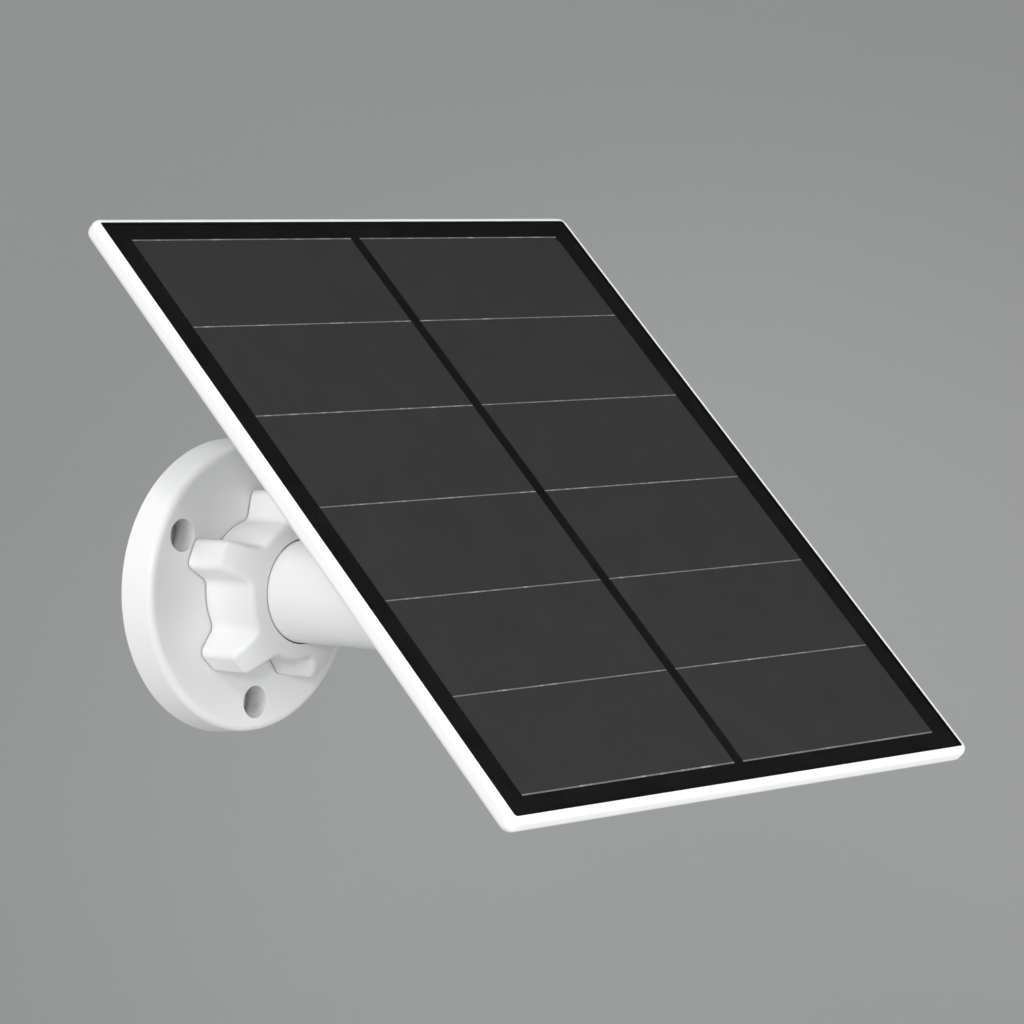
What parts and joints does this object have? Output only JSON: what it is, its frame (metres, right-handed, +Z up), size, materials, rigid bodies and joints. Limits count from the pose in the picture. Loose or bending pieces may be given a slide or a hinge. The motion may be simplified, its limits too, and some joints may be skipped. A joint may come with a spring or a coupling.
{
  "type": "solar charging panel with wall mount",
  "caption": "Flat dark solar charging panel in a thin white tray, tilted on a short round neck that a lobed collar locks to a round wall plate.",
  "frame": {"origin": "on the mount's axis, where the wall plate's back meets the wall", "axes": "+Y into the wall along the mount's axis, +Z up, +X to the right of a viewer who faces the wall"},
  "size_m": [0.1672, 0.1692, 0.1307],
  "materials": {
    "white_shell": "satin moulded white, UV-stable ASA",
    "foam": "closed-cell foam",
    "bearing_plastic": "natural acetal",
    "seal_rubber": "matt black silicone",
    "bush_brass": "machined",
    "steel": "stainless steel",
    "board": "solder mask",
    "chip": "moulded epoxy",
    "ferrite": "ferrite block",
    "can": "drawn can",
    "connector": "moulded nylon",
    "lead": "copper strip",
    "panel_cover": "clear matt film",
    "edge_seal": "black silicone",
    "black_laminate": "black laminate",
    "cell": "anti-reflection coated silicon",
    "ribbon": "tinned copper wire"
  },
  "bodies": {
    "wall_mount": {"wall_plate": "white_shell", "wall_gasket": "foam", "neck_washer": "bearing_plastic"},
    "collar_thrust": {"slip_washer": "bearing_plastic"},
    "collar": {"lock_collar": "white_shell"},
    "arm": {"neck": "white_shell", "hinge_bush": "bush_brass"},
    "panel": {"hinge_washers": "bearing_plastic", "hinge_bolt": "steel", "hinge_nut": "steel", "panel_bracket": "white_shell", "bracket_screws": "steel", "rear_housing": "white_shell", "housing_seal": "seal_rubber", "housing_screws": "steel", "controller_board": "board", "board_screws": "steel", "power_coil": "ferrite", "charger_chip": "chip", "capacitors": "can", "lead_connector": "connector", "panel_leads": "lead", "cable_gland": "white_shell", "gland_seal": "seal_rubber", "gland_cap": "white_shell", "gland_locknut": "white_shell", "panel_tray": "white_shell", "panel_cover": "panel_cover", "edge_seal": "edge_seal", "backing_board": "black_laminate", "encapsulant": "black_laminate", "cells_left": "cell", "cells_right": "cell", "cell_ribbons": "ribbon"}
  },
  "joints": [
    {"name": "collar_travel", "type": "slide", "parent": "wall_mount", "child": "collar_thrust", "axis": [0, -1, 0], "range_m": [0, 0.0015]},
    {"name": "collar_turn", "type": "hinge", "parent": "collar_thrust", "child": "collar", "pos_m": [0, 0, 0], "axis": [0, -1, 0], "range_deg": [0, 90]},
    {"name": "neck_swivel", "type": "hinge", "parent": "wall_mount", "child": "arm", "pos_m": [0, 0, 0], "axis": [0, -1, 0], "continuous": true},
    {"name": "panel_tilt", "type": "hinge", "parent": "arm", "child": "panel", "pos_m": [0, -0.0764, 0], "axis": [1, 0, 0], "range_deg": [-18, 45]}
  ],
  "couplings": [
    {"joint": "collar_travel", "follows": "collar_turn", "m_per_rad": 0.00095483}
  ]
}
